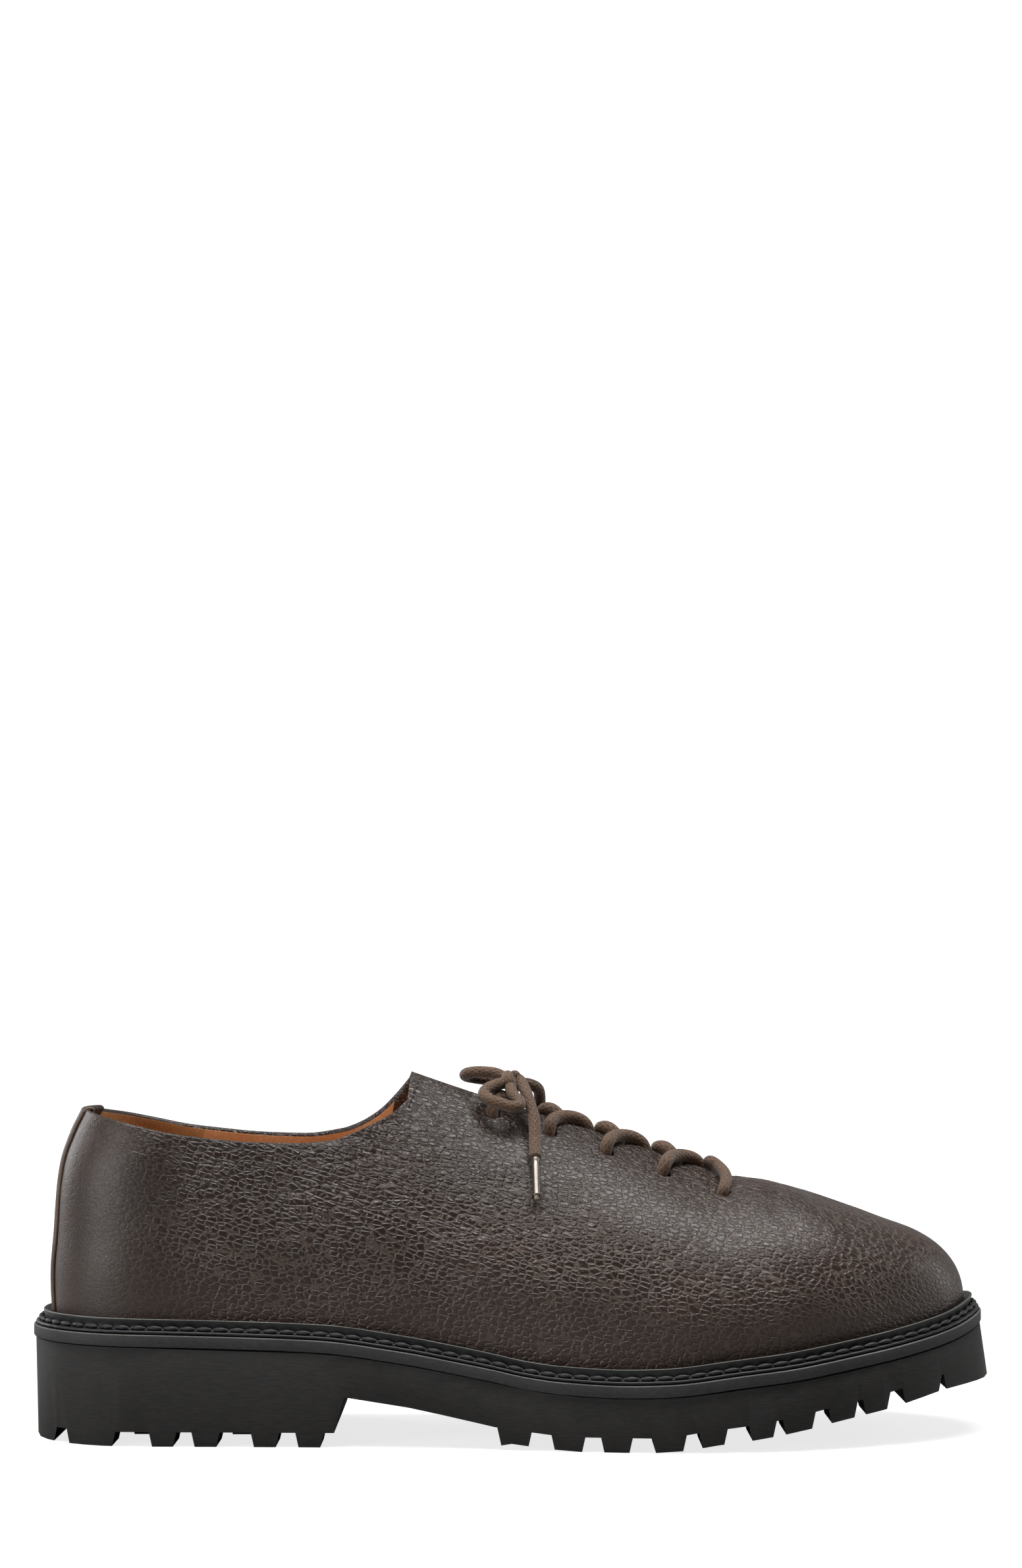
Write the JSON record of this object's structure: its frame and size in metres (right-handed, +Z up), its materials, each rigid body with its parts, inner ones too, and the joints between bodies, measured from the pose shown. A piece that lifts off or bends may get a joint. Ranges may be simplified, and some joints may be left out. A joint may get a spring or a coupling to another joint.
{
  "type": "wholecut shoe",
  "caption": "Right wholecut lace-up shoe in pebbled leather with a raised storm welt and a black lugged rubber sole, tied in a small bow.",
  "frame": {"origin": "middle of the shoe's length and width on the floor", "axes": "+X from heel to toe, -Y to the outer side of the foot, +Z up"},
  "size_m": [0.3078, 0.1027, 0.1173],
  "materials": {
    "outsole_rubber": "matt black moulded rubber, sides finely brushed",
    "band_rubber": "dark grey trimmed edge, satin",
    "welt_rubber": "black, satin, with a light worn lip",
    "upper_leather": "dark brown pebbled leather, half gloss",
    "lining_leather": "tan smooth lining leather",
    "lace_cotton": "brown waxed braided cotton",
    "lace_tip_metal": "thin rolled metal"
  },
  "bodies": {
    "root": {"outsole": "outsole_rubber", "midsole": "band_rubber", "welt": "welt_rubber", "insole": "lining_leather", "upper": "upper_leather", "back_strip": "upper_leather", "tongue": "upper_leather", "lace_cross_1": "lace_cotton", "lace_cross_2": "lace_cotton", "lace_cross_3": "lace_cotton", "lace_cross_4": "lace_cotton", "lace_cross_5": "lace_cotton", "lace_knot": "lace_cotton", "lace_loop_outer": "lace_cotton", "lace_loop_inner": "lace_cotton", "lace_end_outer": "lace_cotton", "lace_end_inner": "lace_cotton", "lace_tip_outer": "lace_tip_metal", "lace_tip_inner": "lace_tip_metal"}
  },
  "joints": []
}
